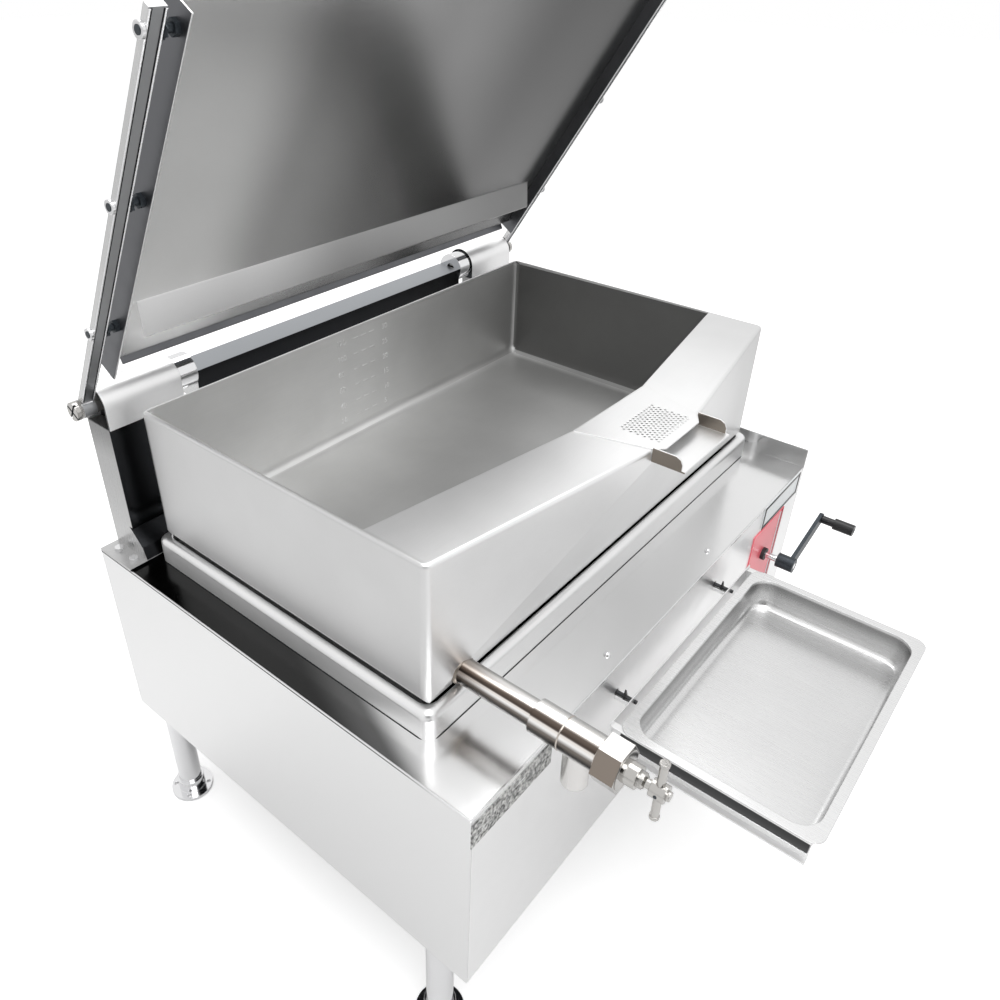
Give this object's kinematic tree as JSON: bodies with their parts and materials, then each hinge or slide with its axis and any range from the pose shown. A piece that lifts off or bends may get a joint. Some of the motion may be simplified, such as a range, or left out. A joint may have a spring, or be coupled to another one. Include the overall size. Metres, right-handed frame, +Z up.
{
  "type": "tilting skillet",
  "caption": "Rectangular braising pan with pouring spout, hinged lid and draw-off valve, tilted by a hand crank over a legged housing with a catering pan on rails",
  "frame": {"origin": "on the floor, at the middle of the four flanged feet", "axes": "+Z up, the pouring side faces -Y, +X to the right of someone facing the front"},
  "size_m": [1.233, 1.284, 1.6517],
  "materials": {
    "satin_steel": "satin",
    "mirror_steel": "bright polished",
    "polished_steel": "polished",
    "spring_steel": "dark",
    "cast_iron": "cast",
    "brass": "dull bronze",
    "red_paint": "gloss",
    "white_plate": "gloss",
    "dark_trim": "textured",
    "dark_iron": "satin",
    "black_plastic": "gloss"
  },
  "bodies": {
    "housing": {"deck_plate": "mirror_steel", "side_panel_left": "mirror_steel", "side_panel_right": "mirror_steel", "front_panel": "mirror_steel", "rear_panel": "mirror_steel", "front_trim": "dark_trim", "deck_screws": "satin_steel", "deck_collar": "satin_steel", "base_frame": "satin_steel", "leg_front_left": "polished_steel", "leg_front_right": "polished_steel", "leg_rear_left": "polished_steel", "leg_rear_right": "polished_steel", "lid_column_left": "satin_steel", "lid_column_right": "satin_steel", "hinge_hood_left": "satin_steel", "hinge_hood_right": "satin_steel", "column_bolts": "satin_steel", "lid_springs": "spring_steel", "hinge_sleeves": "polished_steel", "cross_beam": "satin_steel", "bearing_block_left": "cast_iron", "bearing_block_right": "cast_iron", "gear_bearings": "cast_iron", "pan_carrier": "satin_steel", "control_panel": "red_paint", "blank_plate": "white_plate"},
    "lid": {"lid_skin": "mirror_steel", "lid_liner": "satin_steel", "lid_rear_rim": "satin_steel", "lid_drip_strip": "satin_steel", "arm_bolts_left": "satin_steel", "arm_bolts_right": "satin_steel", "lid_arm_left": "satin_steel", "lid_arm_right": "satin_steel", "hinge_shaft_left": "satin_steel", "hinge_shaft_right": "satin_steel", "lid_handle": "satin_steel"},
    "pan": {"pan_shell": "satin_steel", "spout": "satin_steel", "heater_casing": "satin_steel", "heating_element": "spring_steel", "tilt_shaft": "satin_steel", "tilt_arm_left": "satin_steel", "tilt_arm_right": "satin_steel", "worm_wheel": "brass", "drain_tube": "polished_steel", "valve_body": "polished_steel", "valve_nut": "brass"},
    "strainer": {"strainer": "satin_steel"},
    "valve_stem": {"valve_stem": "polished_steel"},
    "valve_handle": {"valve_handle": "polished_steel"},
    "worm": {"worm_shaft": "spring_steel"},
    "crank": {"crank_shaft": "polished_steel", "crank_arm": "dark_iron"},
    "grip": {"crank_grip": "black_plastic"},
    "catering_pan": {"catering_pan": "satin_steel"},
    "knob": {"thermostat_knob": "black_plastic"},
    "switch": {"power_switch": "black_plastic"}
  },
  "joints": [
    {"name": "pan_tilt", "type": "hinge", "parent": "housing", "child": "pan", "pos_m": [0, -0.428, 0.612], "axis": [1, 0, 0], "range_deg": [0, 90]},
    {"name": "lid_hinge", "type": "hinge", "parent": "housing", "child": "lid", "pos_m": [0, 0.42, 0.965], "axis": [-1, 0, 0], "range_deg": [-57, 30]},
    {"name": "worm_spin", "type": "hinge", "parent": "housing", "child": "worm", "pos_m": [0.4275, -0.313, 0.5725], "axis": [0, -1, 0], "range_deg": [0, 2700]},
    {"name": "crank_turn", "type": "hinge", "parent": "housing", "child": "crank", "pos_m": [0.4275, -0.313, 0.5079], "axis": [0, -1, 0], "range_deg": [-2700, 0]},
    {"name": "grip_spin", "type": "hinge", "parent": "crank", "child": "grip", "pos_m": [0.58275, -0.526, 0.54661], "axis": [0, -1, 0], "continuous": true},
    {"name": "strainer_lift", "type": "slide", "parent": "pan", "child": "strainer", "axis": [0, 0, 1], "range_m": [0, 0.08]},
    {"name": "valve_turn", "type": "hinge", "parent": "valve_stem", "child": "valve_handle", "pos_m": [-0.4485, -0.647, 0.735], "axis": [0, -1, 0], "range_deg": [0, 720]},
    {"name": "valve_travel", "type": "slide", "parent": "pan", "child": "valve_stem", "axis": [0, -1, 0], "range_m": [0, 0.02]},
    {"name": "pan_slide", "type": "slide", "parent": "housing", "child": "catering_pan", "axis": [0, -1, 0], "range_m": [0, 0.2]},
    {"name": "knob_turn", "type": "hinge", "parent": "housing", "child": "knob", "pos_m": [0.3895, -0.459, 0.387], "axis": [0, -1, 0], "range_deg": [0, 270]},
    {"name": "switch_rock", "type": "hinge", "parent": "housing", "child": "switch", "pos_m": [0.4645, -0.4625, 0.387], "axis": [1, 0, 0], "range_deg": [0, 8]}
  ],
  "couplings": [
    {"joint": "worm_spin", "follows": "pan_tilt", "ratio": 30},
    {"joint": "crank_turn", "follows": "pan_tilt", "ratio": -30},
    {"joint": "valve_travel", "follows": "valve_turn", "m_per_rad": 0.00159}
  ]
}
